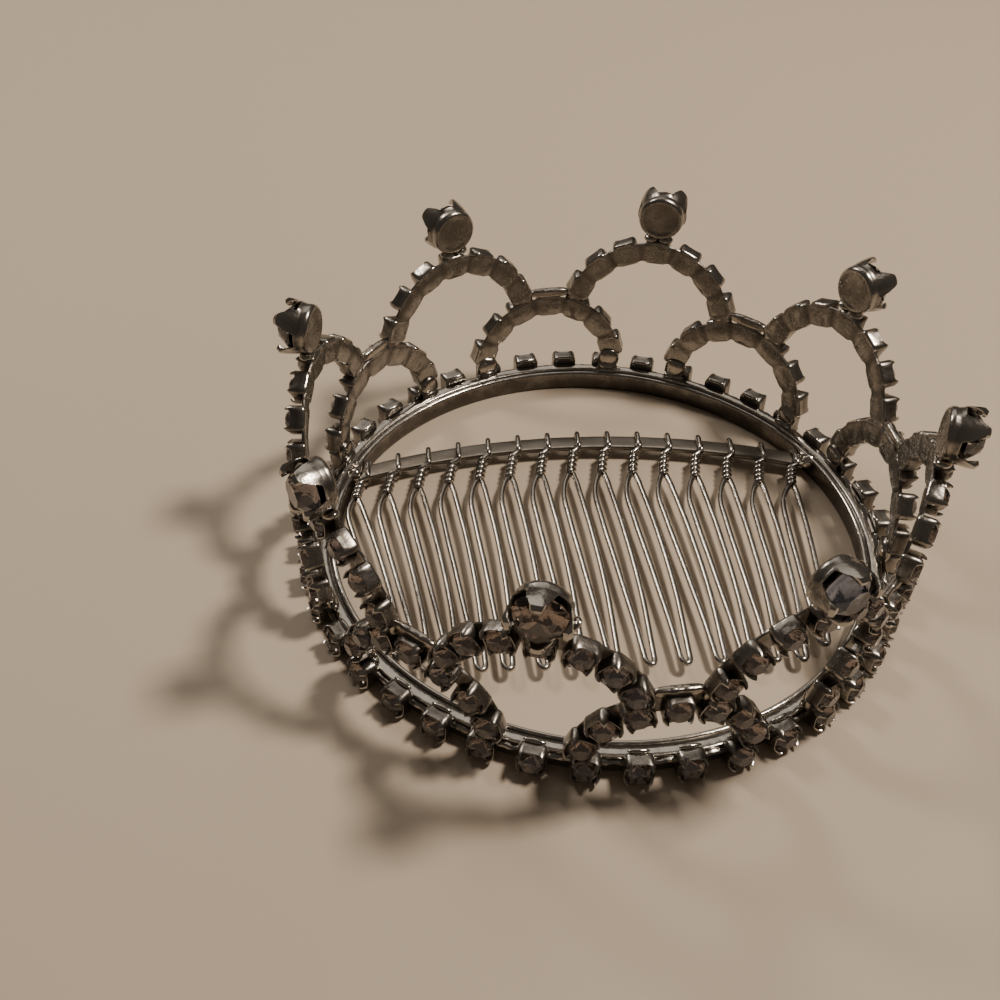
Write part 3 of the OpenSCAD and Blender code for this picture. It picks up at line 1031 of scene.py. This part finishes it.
class TIARA_OT_solder(bpy.types.Operator):
    """Adds the shiny solder where arches meet each other and stand on the ring"""

    bl_idname = "tiara.solder"
    bl_label = "Solder"

    def execute(self, context):
        a = context.scene.tiara_arches
        spread = np.random.default_rng(17)
        reach = (a.cups - 1) / 2
        foot = a.small_radius * math.sin(reach * a.small_step)
        patch = Patchwork()

        def drop(azimuth, along, height, centre, size, seed, bumps, power):
            """Adds one lump beside an azimuth. Centre and half sizes are in millimetres."""
            spot = (azimuth + along / ARC_RADIUS, wall_at(height, a.lean), height, a.lean, 0.0)
            points, faces = blob(
                np.array(centre) * MM, np.array(size) * MM, seed, bumps, 11, 20, power
            )
            patch.add(place(points, *spot), faces, 0.6)

        top = a.small_height + a.small_radius
        for k in range(SECTORS):
            azimuth = math.radians(k * SECTOR)
            drop(azimuth, 0, top + 1.9 * MM, (0, 0, 0.55), (2.7, 0.6, 0.5), 900 + k, 0.05, 0.6)
            for bead in range(2):
                drop(azimuth, (2 * bead - 1 + spread.uniform(-0.3, 0.3)) * 1.0 * MM,
                     top + 2.2 * MM, (0, 0, 0.6), (1.0, 0.34, 0.5), 920 + 3 * k + bead, 0.1, 1)
            for side in (-1, 1):
                number = 10 * k + side
                drop(azimuth, side * foot, LEAN_FROM + 0.3 * MM, (0, 0, 0.1),
                     (1.5, 1.5, 0.75), 700 + number, 0.16, 0.8)
                drop(azimuth, side * foot, RING_HEIGHT + 0.1 * MM, (0, 0, -0.35),
                     (1.4, 0.6, 0.5), 800 + number, 0.16, 1)
                drop(azimuth, side * 3.6 * MM, top + 0.95 * MM, (0, 0, 0.7), (1.3, 1.0, 0.6),
                     600 + number, 0.12, 0.8)
        patch.piece("arch_solder", [finishes()["solder"]], [], SOLDER_CREASE)
        return {"FINISHED"}


class TIARA_OT_comb_spine(bpy.types.Operator):
    """Builds the comb's bowed spine, a strip of rounded section, and the solder at its ends"""

    bl_idname = "tiara.comb_spine"
    bl_label = "Comb spine"

    def execute(self, context):
        c = context.scene.tiara_comb
        x = np.linspace(-c.spine_half, c.spine_half, 121)
        a = np.arange(16) / 16 * TAU
        across = np.sign(np.cos(a)) * np.abs(np.cos(a)) ** 0.45 * c.spine_width / 2
        thick = np.sign(np.sin(a)) * np.abs(np.sin(a)) ** 0.45 * c.spine_thickness / 2
        tilt = np.arcsin(x / c.spine_radius)
        far = c.spine_radius + across[None, :]
        grid = np.stack(
            [
                far * np.sin(tilt)[:, None],
                c.spine_y - c.spine_radius + far * np.cos(tilt)[:, None],
                thick[None, :] + 0 * tilt[:, None],
            ],
            -1,
        )
        grid[..., 2] += lumps(grid, 5 * MM, 0.03 * MM, 9)
        grid = comb_point(grid)[:, ::-1]
        patch = Patchwork()
        patch.add(*shell(grid, grid[0].mean(0), grid[-1].mean(0)), 0.3)
        patch.piece("comb_spine_strip", [finishes()["strip"]], ["comb_spine"], 50)
        for side, label in ((-1, "left"), (1, "right")):
            x = side * 29.5 * MM
            y = spine_at(x)
            patch = Patchwork()
            drops = (
                ((x, y + 1.2 * MM, 0), (1.1, 2.0, 1.05), 31),
                ((x + side * 0.3 * MM, y + 0.1 * MM, 0.1 * MM), (1.2, 1.0, 1.0), 32),
            )
            for centre, size, seed in drops:
                points, faces = blob(centre, np.array(size) * MM, seed + side, 0.08, 14, 24)
                patch.add(comb_point(points), faces, 0.0)
            patch.piece(f"comb_joint_{label}", [finishes()["solder"]], [f"comb_solder_{label}"],
                        SOLDER_CREASE)
        return {"FINISHED"}


class TIARA_OT_comb_teeth(bpy.types.Operator):
    """Bends the comb's twisted hairpin teeth"""

    bl_idname = "tiara.comb_teeth"
    bl_label = "Comb teeth"

    def execute(self, context):
        c = context.scene.tiara_comb
        patch = Patchwork()
        for i in range(c.teeth):
            points, faces = sweep(comb_point(tooth(i)), c.wire / 2, 10)
            patch.add(points, faces, 0.28)
        patch.piece("comb_wires", [finishes()["wire"]], ["comb_teeth"], 60)
        return {"FINISHED"}


FLOOR_HALF = 1.5
ROOM, ROOM_STRENGTH = (0.42, 0.36, 0.30, 1), 0.18
# Each lamp's place, size, power and colour. They all face the crown's middle.
LAMPS = {
    "key": ((0.241, 0.042, 0.469), 0.085, 2.2, (1.0, 0.87, 0.73)),
    "back": ((-0.22, 0.36, 0.34), 0.10, 0.7, (1.0, 0.90, 0.78)),
    "ceiling": ((0.0, 0.46, 0.46), 0.42, 0.4, (1.0, 0.90, 0.78)),
}
CROWN_MIDDLE = (0, 0, 0.01)
CAMERA_ANGLES = (-5.77, 43.62, 0.76)  # degrees round the crown, above the floor, and of roll
CAMERA_PLACE = (0.16102, -0.02132, 0.00217)  # metres along its own back, right and up
CAMERA_SENSOR, CAMERA_LENS = 36, 46.52
CAMERA_SHIFT = (0.0776, 0.0298)


class TIARA_OT_stage(bpy.types.Operator):
    """Adds the floor, the lights and the camera"""

    bl_idname = "tiara.stage"
    bl_label = "Stage"

    def execute(self, context):
        f = Finish("pale_floor")
        cloud = f.noise(f.here(), 0.02, 2.0, 0.5)
        base = tuple(context.scene.tiara_finishes.floor)
        f.surface(
            Base_Color=f.mix(cloud * 0.12, base, tuple(v * 0.9 for v in base)),
            Roughness=cloud * 0.1 + 0.55,
        )
        mesh = bpy.data.meshes.new("floor")
        h = FLOOR_HALF
        mesh.from_pydata([(-h, -h, 0), (h, -h, 0), (h, h, 0), (-h, h, 0)], [], [(0, 1, 2, 3)])
        mesh.materials.append(f.material)
        floor = bpy.data.objects.new("floor", mesh)
        context.scene.collection.objects.link(floor)

        world = bpy.data.worlds.new("room")
        world.use_nodes = True
        room = world.node_tree.nodes["Background"].inputs
        room["Color"].default_value, room["Strength"].default_value = ROOM, ROOM_STRENGTH
        context.scene.world = world
        for name, (spot, size, power, tone) in LAMPS.items():
            data = bpy.data.lights.new(name, "AREA")
            data.size, data.energy, data.color = size, power, tone
            lamp = bpy.data.objects.new(name, data)
            lamp.location = spot
            lamp.rotation_mode = "QUATERNION"
            lamp.rotation_quaternion = (Vector(spot) - Vector(CROWN_MIDDLE)).to_track_quat("Z", "Y")
            context.scene.collection.objects.link(lamp)

        side, rise, roll = (math.radians(v) for v in CAMERA_ANGLES)
        back = Vector(
            (math.sin(side) * math.cos(rise), -math.cos(side) * math.cos(rise), math.sin(rise))
        )
        right = Vector((math.cos(side), math.sin(side), 0))
        up = right.cross(-back)
        spot = back * CAMERA_PLACE[0] + right * CAMERA_PLACE[1] + up * CAMERA_PLACE[2]
        across = right * math.cos(roll) - up * math.sin(roll)
        high = right * math.sin(roll) + up * math.cos(roll)
        turn = Matrix((across, high, back)).transposed().to_4x4()
        data = bpy.data.cameras.new("camera")
        data.sensor_width, data.lens = CAMERA_SENSOR, CAMERA_LENS
        data.shift_x, data.shift_y = CAMERA_SHIFT
        data.clip_start, data.clip_end = 0.005, 10
        camera = bpy.data.objects.new("camera", data)
        camera.matrix_world = Matrix.Translation(spot) @ turn
        context.scene.collection.objects.link(camera)
        context.scene.camera = camera
        return {"FINISHED"}


class TIARA_PT_panel(bpy.types.Panel):
    """Lists the tiara's operators"""

    bl_idname = "TIARA_PT_panel"
    bl_label = "Tiara"
    bl_space_type = "VIEW_3D"
    bl_region_type = "UI"
    bl_category = "Tiara"

    def draw(self, context):
        for operator in OPERATORS:
            self.layout.operator(operator.bl_idname)


GROUPS = {
    "tiara_ring": RingSizes,
    "tiara_settings": SettingSizes,
    "tiara_arches": ArchSizes,
    "tiara_top": TopSizes,
    "tiara_comb": CombSizes,
    "tiara_finishes": Finishes,
}
OPERATORS = (
    TIARA_OT_ring,
    TIARA_OT_ring_chain,
    TIARA_OT_ring_stones,
    TIARA_OT_arches,
    TIARA_OT_arch_stones,
    TIARA_OT_top_settings,
    TIARA_OT_solder,
    TIARA_OT_comb_spine,
    TIARA_OT_comb_teeth,
    TIARA_OT_stage,
)


def register():
    """Registers the properties, the operators and the panel."""
    for name, group in GROUPS.items():
        bpy.utils.register_class(group)
        setattr(bpy.types.Scene, name, bpy.props.PointerProperty(type=group))
    for cls in (*OPERATORS, TIARA_PT_panel):
        bpy.utils.register_class(cls)


def unregister():
    """Takes them away again."""
    for cls in (TIARA_PT_panel, *reversed(OPERATORS)):
        bpy.utils.unregister_class(cls)
    for name, group in GROUPS.items():
        delattr(bpy.types.Scene, name)
        bpy.utils.unregister_class(group)


def main():
    """Builds every piece in order."""
    register()
    bpy.ops.tiara.ring()
    bpy.ops.tiara.ring_chain()
    bpy.ops.tiara.ring_stones()
    bpy.ops.tiara.arches()
    bpy.ops.tiara.arch_stones()
    bpy.ops.tiara.top_settings()
    bpy.ops.tiara.solder()
    bpy.ops.tiara.comb_spine()
    bpy.ops.tiara.comb_teeth()
    bpy.ops.tiara.stage()


if __name__ == "__main__":
    main()
